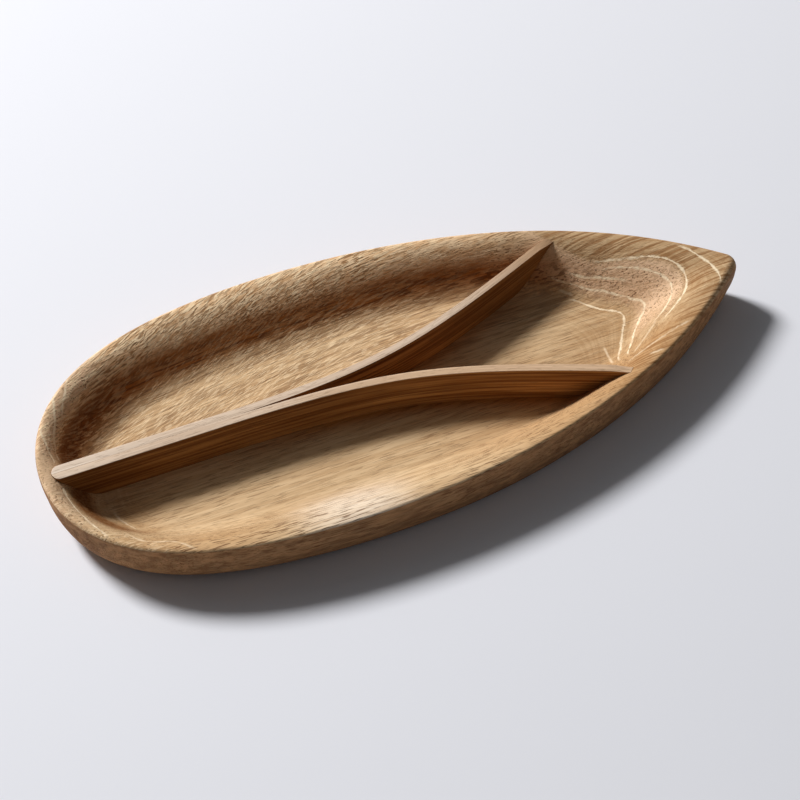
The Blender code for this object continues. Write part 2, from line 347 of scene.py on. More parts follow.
def stripGrid(side):
    # each section goes up the inner face, over both eased edges and down the outer face
    inner, outer = stripPlan(0.0, side)
    wide = np.linalg.norm(outer - inner, axis=-1)[:, None]
    turn = np.linspace(0.0, math.pi / 2, strips["easeSteps"] + 1)
    innerEase = np.minimum(strips["innerEase"], wide * strips["widestEase"])
    outerEase = np.minimum(strips["outerEase"], wide * strips["widestEase"])
    rising, falling = 1.0 - np.cos(turn), 1.0 - np.sin(turn)
    way = np.concatenate([innerEase * rising, wide - outerEase * falling], axis=1)
    drop = np.concatenate([innerEase * falling, outerEase * rising], axis=1)
    share = way / np.maximum(wide, tiny)
    share = np.pad(share, ((0, 0), (1, 1)), constant_values=((0, 0), (0.0, 1.0)))
    plan = inner[:, None, :] + (outer - inner)[:, None, :] * share[..., None]
    ground = hollowHeight(plan[:, [0, -1], 0], plan[:, [0, -1], 1])
    foot = ground - strips["footSink"]

    # over its last stretch the top sinks along a smooth step until both edges meet the hollow
    left = np.linalg.norm(outer - outer[-1], axis=-1)
    step = np.clip(1.0 - left / strips["endEase"], 0.0, 1.0)[:, None]
    endGround = ground[-1, 0] + (ground[-1, 1] - ground[-1, 0]) * share[:, 1:-1]
    sink = (dish["height"] - endGround - strips["endLift"]) * step**2 * (3.0 - 2.0 * step)
    height = np.concatenate([foot[:, :1], dish["height"] - sink - drop, foot[:, 1:]], axis=1)
    return np.stack([plan[..., 0] - trayLength / 2, side * plan[..., 1], height], axis=-1)


def grooveMesh(name, side):
    # the room for one strip, with the groove's gap all round, from its floor to above the rim
    columns = []
    for edge in stripPlan(strips["grooveGap"], side):
        foot = hollowHeight(edge[:, 0], edge[:, 1]) - strips["grooveDepth"]
        head = np.full_like(foot, dish["height"] + strips["grooveHead"])
        x, y = edge[:, 0] - trayLength / 2, side * edge[:, 1]
        columns.append([np.stack([x, y, z], axis=-1) for z in (foot, head)])
    (innerFoot, innerHead), (outerFoot, outerHead) = columns
    grid = np.stack([innerFoot, outerFoot, outerHead, innerHead], axis=1)
    mesh = gridMesh(name, grid, capFirst=True, capLast=True)
    closeMesh(mesh, cutQuads=True)
    return mesh


def dividerNearness(x, y, parts=24):
    # an exponential of the plan distance from the nearest divider's edge, in millimetres
    nearest = np.full(x.shape, np.inf)
    for side in (1.0, -1.0):
        for edge in stripPlan(0.0, side):
            line = (edge * (1.0, side) - (trayLength / 2, 0.0)) * millimetres
            for part in np.array_split(np.arange(len(x)), parts):
                away = np.hypot(x[part, None] - line[:, 0], y[part, None] - line[:, 1]).min(axis=-1)
                nearest[part] = np.minimum(nearest[part], away)
    return np.exp(-nearest / strips["shadeReach"])


def placed(name, data):
    # a new object in the scene
    thing = bpy.data.objects.new(name, data)
    bpy.context.scene.collection.objects.link(thing)
    return thing


def addPiece(name, mesh, node, material):
    # rides on the only body and stands for its CAD node
    piece = placed(name, mesh)
    mesh.materials.clear()
    mesh.materials.append(material)
    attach(piece, "root")
    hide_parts(node)
    return piece


# Pale growth lines where the hollow cuts through the layers of the board, in millimetres: the
# layer's level, the back and front ends of its line across the tray, the line's strength and
# the points that it passes. A stroke has two ends and a strength.
growth = {
    "softness": 6.0,
    "bow": [
        (121.0, 23.1, -14.6, 1.0, [(91.6, 21.6), (97.7, 19.3), (103.8, 16.6), (110.0, 14.2), (114.7, 11.1),
            (118.7, 6.4), (119.7, 2.0), (118.3, -2.6), (114.5, -7.2), (109.9, -10.3), (104.3, -13.1)]),
        (115.0, 19.0, -10.9, 1.0, [(97.0, 17.5), (102.8, 14.0), (108.2, 9.8), (111.5, 6.5), (113.5, 3.0),
            (113.5, -0.5), (110.4, -4.9), (105.1, -9.4)]),
        (109.0, 24.1, 11.5, 1.0, [(83.0, 22.6), (90.4, 18.5), (98.3, 13.0)]),
        (103.8, 25.7, -20.9, 1.0, [(76.4, 24.2), (81.6, 20.3), (87.4, 15.4), (95.2, 9.5), (99.5, 5.6),
            (103.1, 2.9), (103.3, 1.2), (101.2, -1.5), (98.1, -4.1), (93.9, -8.9), (85.5, -19.4)]),
        (94.6, 16.3, -20.3, 1.0, [(80.3, 14.8), (83.3, 11.3), (87.6, 7.3), (93.8, 3.4), (94.3, 1.8),
            (93.2, -2.0), (89.1, -8.3), (85.3, -14.7), (81.9, -21.4)]),
        (131.5, 13.6, -9.3, 1.0, [(123.7, 12.1), (127.1, 6.5), (129.6, 1.3), (130.6, -4.0),
            (130.1, -7.8)]),
    ],
    "stern": [
        (128.0, 39.7, 25.0, 1.0, [(-119.7, 38.2), (-120.8, 35.9), (-121.9, 33.5), (-123.4, 31.2),
            (-124.3, 29.1), (-125.6, 26.5)]),
        (130.0, 33.3, 9.6, 1.0, [(-126.7, 31.8), (-127.2, 29.2), (-127.7, 26.2), (-128.7, 23.3),
            (-130.0, 20.3), (-131.0, 17.4), (-131.6, 14.1), (-132.3, 11.1)]),
        (131.5, 20.9, 6.9, 1.0, [(-135.6, 19.4), (-134.5, 17.1), (-134.4, 14.0), (-134.2, 11.0),
            (-133.5, 8.4)]),
        (130.0, -4.1, -32.5, 1.0, [(-134.0, -5.6), (-133.0, -11.5), (-131.3, -17.8), (-129.0, -24.7),
            (-127.1, -28.8), (-125.8, -31.0)]),
        (120.0, -12.9, -24.0, 0.45, [(-118.6, -14.4), (-116.8, -18.6), (-114.5, -22.5)]),
        (124.0, -30.5, -49.4, 0.45, [(-118.3, -32.0), (-113.9, -39.0), (-104.3, -42.2), (-101.4, -45.1),
            (-99.4, -47.9)]),
    ],
    "strokes": [
        ((109.7, -22.0), (81.6, -27.0), 0.5),
        ((94.6, -30.9), (88.4, -30.4), 0.6),
        ((80.5, -9.8), (79.6, -20.2), 0.6),
        ((75.4, 21.8), (80.2, 17.4), 0.6),
        ((101.5, -11.6), (86.0, -23.0), 0.45),
    ],
    "lineHalfWidth": 0.6,
    "leastSteepness": 0.12,
    "lineCore": 0.2,  # of the half width
    "lineFade": (1.5, 2.5),  # beyond a line's end and before it
    "strokeFade": (0.5, 2.0),
    "strokeEdge": (0.1, 0.75),
    "shake": {"scale": 0.8, "detail": 4.0, "roughness": 0.6},
    "strokeShake": 1.2,
}


def plateTerms(x, y, points):
    # half of r squared times the logarithm of r squared about each point, and its two slopes
    dx, dy = x[:, None] - points[:, 0], y[:, None] - points[:, 1]
    square = dx * dx + dy * dy + tiny
    logarithm = np.log(square)
    return 0.5 * square * logarithm, dx * (logarithm + 1.0), dy * (logarithm + 1.0)


def growthField(x, y, lines):
    # a thin plate bent through the level of every point: its height and two slopes anywhere
    points = np.array([point for line in lines for point in line[-1]])
    levels = np.concatenate([np.full(len(line[-1]), line[0]) for line in lines])
    count = len(points)
    stiff = plateTerms(points[:, 0], points[:, 1], points)[0] + growth["softness"] * np.eye(count)
    plane = np.column_stack([np.ones(count), points])
    system = np.block([[stiff, plane], [plane.T, np.zeros((3, 3))]])
    weights = np.linalg.solve(system, np.append(levels, np.zeros(3)))
    bend, slopeX, slopeY = plateTerms(x, y, points)
    level, tiltX, tiltY = weights[count:]
    field = bend @ weights[:count] + level + tiltX * x + tiltY * y
    return np.stack([field, slopeX @ weights[:count] + tiltX, slopeY @ weights[:count] + tiltY], axis=-1)


# Small tools for writing node trees
def wire(tree, socket, value):
    # links an output to the socket, or sets the socket to a plain value
    if isinstance(value, bpy.types.NodeSocket):
        tree.links.new(value, socket)
    elif value is not None:
        socket.default_value = value


def wireAll(tree, node, *values):
    # one value for each of the node's inputs, in their order
    for socket, value in zip(node.inputs, values):
        wire(tree, socket, value)


def calc(tree, operation, first, second=None, third=None):
    node = tree.nodes.new("ShaderNodeMath")
    node.operation = operation
    wireAll(tree, node, first, second, third)
    return node.outputs[0]


def product(tree, *values):
    # all the values multiplied together
    return functools.reduce(functools.partial(calc, tree, "MULTIPLY"), values)


def largest(tree, *values):
    # the greatest of the values
    return functools.reduce(functools.partial(calc, tree, "MAXIMUM"), values)


def weighted(tree, values, weights, base=0.0):
    # a base plus the sum of the named values, each times its weight
    total = base
    for name, weight in weights.items():
        total = calc(tree, "MULTIPLY_ADD", values[name], weight, total)
    return total


def vectorCalc(tree, operation, first, second=None, scale=None):
    node = tree.nodes.new("ShaderNodeVectorMath")
    node.operation = operation
    wireAll(tree, node, first, second)
    if scale is not None:
        wire(tree, node.inputs["Scale"], scale)
    return node.outputs["Value" if operation == "LENGTH" else "Vector"]


def noiseOf(tree, place, scale=1.0, detail=2.0, roughness=0.5):
    node = tree.nodes.new("ShaderNodeTexNoise")
    wire(tree, node.inputs["Vector"], place)
    for name, value in (("Scale", scale), ("Detail", detail), ("Roughness", roughness)):
        wire(tree, node.inputs[name], value)
    return node.outputs["Fac"]


def ramped(tree, value, low, high, toLow=0.0, toHigh=1.0):
    # from one value to another along a smooth step between two limits
    node = tree.nodes.new("ShaderNodeMapRange")
    node.interpolation_type = "SMOOTHSTEP"
    names = ("Value", "From Min", "From Max", "To Min", "To Max")
    for name, entry in zip(names, (value, low, high, toLow, toHigh)):
        wire(tree, node.inputs[name], entry)
    return node.outputs["Result"]


def patches(tree, place, scale, detail, *steps):
    # noise taken along a smooth step
    return ramped(tree, noiseOf(tree, place, scale, detail), *steps)


def mixColour(tree, factor, first, second, mode="MIX"):
    node = tree.nodes.new("ShaderNodeMix")
    node.data_type, node.blend_type = "RGBA", mode
    wire(tree, node.inputs["Factor"], factor)
    for socket, value in ((node.inputs[6], first), (node.inputs[7], second)):
        wire(tree, socket, (*value, 1.0) if isinstance(value, tuple) else value)
    return node.outputs[2]


def painted(tree, colour, paint, *masks):
    # the colour, moved towards a paint by the product of the masks and shares
    return mixColour(tree, product(tree, *masks), colour, paint)


def splitVector(tree, vector):
    node = tree.nodes.new("ShaderNodeSeparateXYZ")
    wire(tree, node.inputs[0], vector)
    return node.outputs


def joinVector(tree, x, y, z):
    node = tree.nodes.new("ShaderNodeCombineXYZ")
    wireAll(tree, node, x, y, z)
    return node.outputs[0]


def carriedValue(tree, name, output):
    # what the mesh carries under this name
    node = tree.nodes.new("ShaderNodeAttribute")
    node.attribute_name = name
    return node.outputs[output]


def addZones(tree, fields, zones):
    # a tuple stands for the largest of earlier fields, and a list for a product, each row of it
    # an earlier field or a smooth step of one
    for name, rows in zones.items():
        if isinstance(rows, tuple):
            fields[name] = largest(tree, *(fields[part] for part in rows))
            continue
        masks = [ramped(tree, fields[part], *limits) if limits else fields[part] for part, *limits in rows]
        fields[name] = product(tree, *masks)


def newGroup(name, entries, result):
    # a shared group that turns numbers, and a place where it has one, into one number
    group = bpy.data.node_groups.new(name, "ShaderNodeTree")
    for title in entries:
        kind = "NodeSocketVector" if title == "Place" else "NodeSocketFloat"
        group.interface.new_socket(name=title, in_out="INPUT", socket_type=kind)
    group.interface.new_socket(name=result, in_out="OUTPUT", socket_type="NodeSocketFloat")
    given, found = group.nodes.new("NodeGroupInput").outputs, group.nodes.new("NodeGroupOutput").inputs
    return group, given, found[result]


def useGroup(tree, group, *values):
    # a shared group's output, with these values at its inputs, in their order
    node = tree.nodes.new("ShaderNodeGroup")
    node.node_tree = group
    wireAll(tree, node, *values)
    return node.outputs[0]


def figures(tree, group, places, rows):
    # the shared group for each row: which of the places, and the numbers that go with it
    return {name: useGroup(tree, group, places[row[0]], *row[1:]) for name, row in rows.items()}


# The figure that both woods share, and the growth lines
strokeDetail, toneDetail, noiseMiddle = 1.5, 3.0, 0.5


def stretched(tree, given):
    # the place in lengths, widths and depths of the figure
    size = joinVector(tree, given["Length"], given["Width"], given["Depth"])
    return vectorCalc(tree, "DIVIDE", given["Place"], size)


def makeGrainStrokes():
    # strokes along the grain: noise stretched to a length, a width and a depth
    entries = ("Place", "Length", "Width", "Depth", "Start", "Full", "Seed")
    group, given, mask = newGroup("grainStrokes", entries, "Mask")
    seed = joinVector(group, given["Seed"], given["Seed"], given["Seed"])
    place = vectorCalc(group, "ADD", stretched(group, given), seed)
    strokes = noiseOf(group, place, detail=strokeDetail)
    wire(group, mask, ramped(group, strokes, given["Start"], given["Full"]))
    return group


def makeLevelLine():
    # a thin line where a field passes a level: the field's distance from the level over its
    # steepness, so that the line is as wide on the surface wherever it runs
    group, given, mask = newGroup("levelLine", ("Field", "Level", "HalfWidth", "Steepness"), "Mask")
    away = calc(group, "ABSOLUTE", calc(group, "SUBTRACT", given["Field"], given["Level"]))
    steepness = calc(group, "MAXIMUM", given["Steepness"], growth["leastSteepness"])
    share = calc(group, "DIVIDE", away, product(group, given["HalfWidth"], steepness))
    wire(group, mask, ramped(group, share, growth["lineCore"], 1.0, 1.0, 0.0))
    return group


def makeWoodTone():
    # slow changes of tone through the wood: noise drawn out along the grain
    entries = ("Place", "Length", "Width", "Depth", "Low", "High")
    group, given, tone = newGroup("woodTone", entries, "Tone")
    noise = noiseOf(group, stretched(group, given), detail=toneDetail)
    wire(group, tone, ramped(group, noise, given["Low"], given["High"]))
    return group


grainStrokes, levelLine, woodTone = makeGrainStrokes(), makeLevelLine(), makeWoodTone()


def newMaterial(name, roughness, specular):
    material = bpy.data.materials.new(name)
    material.use_nodes = True
    shader = material.node_tree.nodes["Principled BSDF"]
    shader.inputs["Roughness"].default_value = roughness
    shader.inputs["Specular IOR Level"].default_value = specular
    return material, material.node_tree, shader


def finishShader(tree, shader, marks, wood):
    # roughness and bump from the marks, each by its share
    shares = wood["shares"]
    rough = weighted(tree, marks, shares["rough"], wood["roughness"] + shares["roughBase"])
    wire(tree, shader.inputs["Roughness"], rough)
    bump = tree.nodes.new("ShaderNodeBump")
    bump.inputs["Distance"].default_value = wood["bumpDistance"]
    bump.inputs["Strength"].default_value = wood["bumpStrength"]
    wire(tree, bump.inputs["Height"], weighted(tree, marks, shares["bump"]))
    wire(tree, shader.inputs["Normal"], bump.outputs["Normal"])


# Oiled oak
oak = {
    "light": (0.71, 0.505, 0.295),
    "dark": (0.47, 0.285, 0.14),
    # paler and more golden on the upper back wall: painted light, over a golden tone of the wood
    "gold": (1.0, 0.73, 0.46),
    "goldDark": (0.72, 0.41, 0.195),
    # a deep red-brown: painted shade on the middle of the back and stern walls, over a redder tone of the
    # wood there; also the colour of the streaks on the bow's rim
    "red": (0.33, 0.12, 0.026),
    "pink": (0.90, 0.62, 0.41),
    "pale": (0.87, 0.74, 0.60),
    # painted shade on parts of the front of the hollow, by the front divider and near the stern
    "frontPaintedShade": (0.54, 0.29, 0.12),
    "rim": (0.74, 0.50, 0.32),
    # the outer sides: a mottled tone of the wood, darkened and reddened as painted shade
    "outside": (0.48, 0.235, 0.10),
    "outsideDark": (0.25, 0.11, 0.045),
    # a near-black brown: painted shade on the stern wall, and the dark waves of the grain
    "shade": (0.12, 0.04, 0.012),
    # painted shade, multiplied in along the feet of the dividers
    "dividerPaintedShade": (0.60, 0.36, 0.17),
    "pore": (0.16, 0.07, 0.028),
    "goldPore": (0.28, 0.125, 0.042),
    "fleck": (0.98, 0.77, 0.50),
    "line": (0.97, 0.80, 0.56),
    "bendTangent": 0.53,
    "bendStation": -12.0,
    "bendSpread": 20.0,
    "easedBend": 0.3,
    "slant": -0.25,
    "roughness": 0.6,
    "specular": 0.04,
    "bumpDistance": 0.0001,
    "bumpStrength": 1.0,
    # Where each kind of figure lies, in millimetres: a field, where it starts, where it is full
    # and, where these aren't 0 and 1, its values there
    "zones": {
        "inside": [("upright", 0.25, 0.5)],
        "bow": [("x", 55, 85)],
        "stern": [("x", -95, -115)],
        "ends": ("bow", "stern"),
        "back": [("y", 5, 15)],
        "bend": [("y", -4, 12)],
        "bowLines": [("x", 60, 66)],
        "sternLines": [("x", -84, -90)],
        "upperWall": [("z", 11, 16), ("back",), ("x", 75, 45)],
        "turnedPores": [("z", 8.5, 14), ("back",), ("x", 55, 5)],
        "middleWall": [("z", 18, 13.5), ("z", 6.4, 10)],
        # the middle of the back and stern walls, where painted shade lies
        "backWall": [("middleWall",), ("y", 9, 20), ("x", 92, 72)],
        "sternWall": [("middleWall",), ("x", -95, -112), ("y", -34, -20)],
        "lowWall": ("backWall", "sternWall"),
        "pink": [("level", 98, 106), ("level", 121.5, 117.5), ("bow",), ("y", -16, -2)],
        "pale": [("y", -32, -44), ("x", -70, -40), ("x", -8, -35)],
        # where the front of the hollow is painted darker as shade
        "frontBow": [("x", -5, 50), ("y", -12, -24)],
        "frontStern": [("x", -65, -95), ("y", -30, -46)],
        "sternRim": [("x", -98, -116), ("z", 16, 19.5)],
        "rimTint": [("sternRim",), ("y", -34, -10, 0, 0.7)],
        "bowRim": [("bow",), ("z", 15, 19), ("pink", 0, 0.5, 1, 0)],
        "rimStreaks": [("bowRim",), ("inside",)],
        "waves": [("back",), ("z", 16, 11)],
        "wallFlecks": [("back",), ("x", 60, 0), ("z", 5.5, 9, 0.55, 1), ("lowWall", 0, 1, 1, 0.25)],
        "sternFlecks": [("stern",), ("z", 17, 20.5, 0, 0.45)],
        "fleckRoom": ("wallFlecks", "sternFlecks"),
        "flecks": [("fleckRoom",), ("inside",)],
        "rims": [("sternRim", 0, 1, 1, 0.5), ("bowRim", 0, 1, 1, 0.45)],
        "pores": [("z", 6, 10, 0.55, 1), ("pink", 0, 1, 1, 0.25), ("rims",)],
        "goldPores": ("upperWall", "bowRim", "sternRim"),
        "dotRoom": ("pink", "sternRim"),
        "dots": [("inside",), ("dotRoom", 0, 1, 0.2, 0.9), ("ends",)],
        # painted shade along the dividers' feet, most on the front side and low down
        "dividerPaintedShade": [("nearness", 0.15, 0.9), ("inside",), ("z", 17.5, 12), ("slanted", 14, 2, 0.25, 1)],
    },
    # Slow tones: which place, length, width and depth, and the noise's low and high
    "tones": {
        "long": ("eased", 45, 2.6, 2.6, 0.35, 0.65),
        "patch": ("straight", 60, 28, 28, 0.35, 0.65),
        "short": ("turned", 8, 2, 2, 0.4, 0.6),
        "mottle": ("straight", 9, 2.4, 2.4, 0.34, 0.66),
    },
    # Strokes: which place, length, width and depth, where the noise starts and is full, and a seed
    "strokes": {
        "waves": ("eased", 20, 1.3, 1.3, 0.5, 0.57, 11.9),
        "streaks": ("eased", 22, 0.95, 0.95, 0.47, 0.6, 0),
        "rimStreaks": ("eased", 22, 0.8, 16, 0.5, 0.61, 4.4),
        "flecks": ("turned", 4.6, 0.62, 4.6, 0.52, 0.565, 3.1),
        "turnedPores": ("turned", 5.2, 0.56, 0.56, 0.53, 0.565, 7.3),
        "straightPores": ("eased", 7.5, 0.42, 0.42, 0.56, 0.63, 5.3),
        "dots": ("straight", 1, 0.62, 0.62, 0.585, 0.63, 2.2),
    },
    # Patches: noise of a scale and detail, its low and high, and the values there
    "patches": {
        "lineWidth": (0.3, 3.0, 0.3, 0.7, 0.5, 1.65),
        "lineBreaks": (0.35, 2.0, 0.36, 0.5, 0.45, 1.0),
        "pores": (0.06, 2.0, 0.35, 0.62, 0.6, 1.0),
        "dots": (0.25, 2.0, 0.4, 0.6, 0.35, 1.0),
    },
    # Bands between the growth layers: noise in steps of the level and, slowly, of y
    "bands": {"steps": {"level": 0.75, "y": 0.03}, "detail": 3.0, "roughness": 0.65, "limits": (0.4, 0.6)},
    # How much of its paint, tone, roughness or bump each figure gives, where its mask is full
    "shares": {
        "tone": {"patch": 0.3, "long": 0.42, "bands": 0.3},
        "goldTone": {"all": 0.25, "short": 0.6},
        "gold": 0.95,
        "red": (0.72, 0.98),
        "sternShade": 0.6,
        "pink": 0.7,
        "pale": 0.7,
        "frontPaintedShade": 0.5,
        "frontStern": 0.7,
        "outside": 0.9,
        "waves": {"lowWall": 0.45},
        "waveBase": 0.35,
        "streaks": {"bowRim": -0.1, "upperWall": -0.2},
        "streakBase": 0.3,
        "rimStreaks": 0.68,
        "flecks": 0.75,
        "pores": 0.78,
        "dots": 0.85,
        "lines": 0.92,
        "rough": {"pores": 0.15, "streaks": 0.08},
        "roughBase": -0.04,
        "bump": {"flecks": 0.6, "streaks": -0.5, "dots": -1.0, "pores": -1.2},
    },
}


def oakFields(tree, place, normal):
    # the values that the oak's zones are found by, and then the zones
    fields = dict(zip("xyz", splitVector(tree, place)))
    fields["upright"] = splitVector(tree, normal)[2]
    fields["slanted"] = weighted(tree, fields, {"x": oak["slant"]}, fields["y"])
    fields["nearness"] = carriedValue(tree, "dividerNearness", "Fac")
    fields["level"], slopeX, slopeY = splitVector(tree, carriedValue(tree, "growthField", "Vector"))
    across = vectorCalc(tree, "CROSS_PRODUCT", joinVector(tree, slopeX, slopeY, 0.0), normal)
    fields["steepness"] = vectorCalc(tree, "LENGTH", across)
    addZones(tree, fields, oak["zones"])
    return fields


def grainPlaces(tree, place, fields):
    # y plus none, a part or the whole of a bend that grows towards the stern on the back half,
    # as the logarithm of one plus an exponential
    sternward = calc(tree, "SUBTRACT", oak["bendStation"], fields["x"])
    growing = calc(tree, "EXPONENT", calc(tree, "DIVIDE", sternward, oak["bendSpread"]))
    bend = calc(tree, "LOGARITHM", calc(tree, "ADD", growing, 1.0), math.e)
    bend = product(tree, bend, oak["bendTangent"] * oak["bendSpread"], fields["bend"])
    places = {"straight": place}
    for name, share in (("eased", oak["easedBend"]), ("turned", 1.0)):
        bentY = calc(tree, "MULTIPLY_ADD", bend, share, fields["y"])
        places[name] = joinVector(tree, fields["x"], bentY, fields["z"])
    return places


def strokeMask(tree, x, y, first, last):
    # a pale stroke between two plan points: near the line through them, and between its ends
    length = math.dist(first, last)
    alongX, alongY = (last[0] - first[0]) / length, (last[1] - first[1]) / length
    offset = {"x": calc(tree, "SUBTRACT", x, first[0]), "y": calc(tree, "SUBTRACT", y, first[1])}
    along = weighted(tree, offset, {"y": alongY, "x": alongX})
    across = calc(tree, "ABSOLUTE", weighted(tree, offset, {"y": alongX, "x": -alongY}))
    beyond, before = growth["strokeFade"]
    started = ramped(tree, along, -beyond, before)
    unended = ramped(tree, along, length + beyond, length - before)
    return product(tree, started, unended, ramped(tree, across, *growth["strokeEdge"], 1.0, 0.0))


def growthMask(tree, place, fields):
    # level lines of the growth field, shaken by noise, each between its ends across the tray,
    # and the short strokes
    shake = calc(tree, "SUBTRACT", noiseOf(tree, place, **growth["shake"]), noiseMiddle)
    shaken = calc(tree, "MULTIPLY_ADD", shake, fields["steepness"], fields["level"])
    halfWidth = product(tree, patches(tree, place, *oak["patches"]["lineWidth"]), growth["lineHalfWidth"])
    beyond, before = growth["lineFade"]
    mask = 0.0
    for end in ("bow", "stern"):
        for level, back, front, strength, _ in growth[end]:
            fromBack = ramped(tree, fields["y"], back + beyond, back - before)
            toFront = ramped(tree, fields["y"], front - beyond, front + before)
            mark = useGroup(tree, levelLine, shaken, level, halfWidth, fields["steepness"])
            mark = product(tree, mark, fromBack, toFront, fields[end + "Lines"], strength)
            mask = largest(tree, mask, mark)
    shakenY = calc(tree, "MULTIPLY_ADD", shake, growth["strokeShake"], fields["y"])
    for first, last, strength in growth["strokes"]:
        mark = product(tree, strokeMask(tree, fields["x"], shakenY, first, last), strength)
        mask = largest(tree, mask, mark)
    return product(tree, mask, fields["inside"], patches(tree, place, *oak["patches"]["lineBreaks"]))


def oakMarks(tree, place, places, fields):
    # the masks of what is drawn along the grain, each kept to its own room
    marks = figures(tree, grainStrokes, places, oak["strokes"])
    marks["pores"] = mixColour(tree, fields["turnedPores"], marks["straightPores"], marks["turnedPores"])
    for name in ("waves", "rimStreaks", "flecks", "pores", "dots"):
        marks[name] = product(tree, marks[name], fields[name])
    for name in ("pores", "dots"):
        marks[name] = product(tree, marks[name], patches(tree, place, *oak["patches"][name]))
    marks["lines"] = growthMask(tree, place, fields)
    return marks


def oakGround(tree, fields, tones):
    # the slow tones, then the colour of each zone over the one before, some of them painted light and
    # painted shade
    settings, shares, inside = oak["bands"], oak["shares"], fields["inside"]
    steps = (product(tree, fields[name], count) for name, count in settings["steps"].items())
    bands = noiseOf(tree, joinVector(tree, *steps, 0.0), 1.0, settings["detail"], settings["roughness"])
    tones["bands"] = product(tree, ramped(tree, bands, *settings["limits"]), fields["ends"])
    tones["all"] = weighted(tree, tones, shares["tone"])
    golden = mixColour(tree, weighted(tree, tones, shares["goldTone"]), oak["gold"], oak["goldDark"])
    shadedSide = mixColour(tree, tones["mottle"], oak["outside"], oak["outsideDark"])
    front = weighted(tree, fields, {"frontStern": shares["frontStern"]}, fields["frontBow"])
    coats = (
        # painted light: the upper back wall paler and more golden, over a golden tone of the wood
        (golden, fields["upperWall"], shares["gold"]),
        # painted shade: the middle of the back and stern walls darker and redder, over a redder tone of the
        # wood
        (oak["red"], fields["lowWall"], ramped(tree, tones["long"], 0.0, 1.0, *shares["red"])),
        # painted shade: the middle of the stern wall darkened further
        (oak["shade"], fields["sternWall"], shares["sternShade"]),
        (oak["pink"], fields["pink"], shares["pink"]),
        (oak["pale"], fields["pale"], inside, shares["pale"]),
        # painted shade on parts of the front of the hollow
        (oak["frontPaintedShade"], front, inside, shares["frontPaintedShade"]),
        (oak["rim"], fields["rimTint"]),
        # the outer sides, darker and redder: painted shade over a mottled tone of the wood
        (shadedSide, calc(tree, "SUBTRACT", 1.0, inside), shares["outside"]),
    )
    colour = mixColour(tree, tones["all"], oak["light"], oak["dark"])
    for paint, *masks in coats:
        colour = painted(tree, colour, paint, *masks)
    return colour


def oakColour(tree, fields, tones, marks):
    # the ground, then each figure drawn over it
    shares = oak["shares"]
    waveShare = weighted(tree, fields, shares["waves"], shares["waveBase"])
    streakShare = weighted(tree, fields, shares["streaks"], shares["streakBase"])
    streakColour = mixColour(tree, fields["bowRim"], oak["dark"], oak["red"])
    poreColour = mixColour(tree, fields["goldPores"], oak["pore"], oak["goldPore"])
    colour = oakGround(tree, fields, tones)
    # the grain's dark waves, stronger on the middle of the walls as painted shade
    colour = painted(tree, colour, oak["shade"], marks["waves"], waveShare)
    colour = painted(tree, colour, streakColour, marks["streaks"], streakShare)
    colour = painted(tree, colour, oak["goldPore"], marks["rimStreaks"], shares["rimStreaks"])
    colour = painted(tree, colour, oak["fleck"], marks["flecks"], shares["flecks"])
    colour = painted(tree, colour, poreColour, marks["pores"], shares["pores"])
    # painted shade: darker and redder along the feet of the dividers
    colour = mixColour(tree, fields["dividerPaintedShade"], colour, oak["dividerPaintedShade"], "MULTIPLY")
    colour = painted(tree, colour, oak["pore"], marks["dots"], shares["dots"])
    return painted(tree, colour, oak["line"], marks["lines"], shares["lines"])


def makeOak():
    # the fields and places that the figure is found by, the figure, then the shader
    material, tree, shader = newMaterial("oiledOak", oak["roughness"], oak["specular"])
    coordinates = tree.nodes.new("ShaderNodeTexCoord").outputs
    place = vectorCalc(tree, "SCALE", coordinates["Object"], scale=millimetres)
    fields = oakFields(tree, place, coordinates["Normal"])
    places = grainPlaces(tree, place, fields)
    tones = figures(tree, woodTone, places, oak["tones"])
    marks = oakMarks(tree, place, places, fields)
    wire(tree, shader.inputs["Base Color"], oakColour(tree, fields, tones, marks))
    finishShader(tree, shader, marks, oak)
    return material


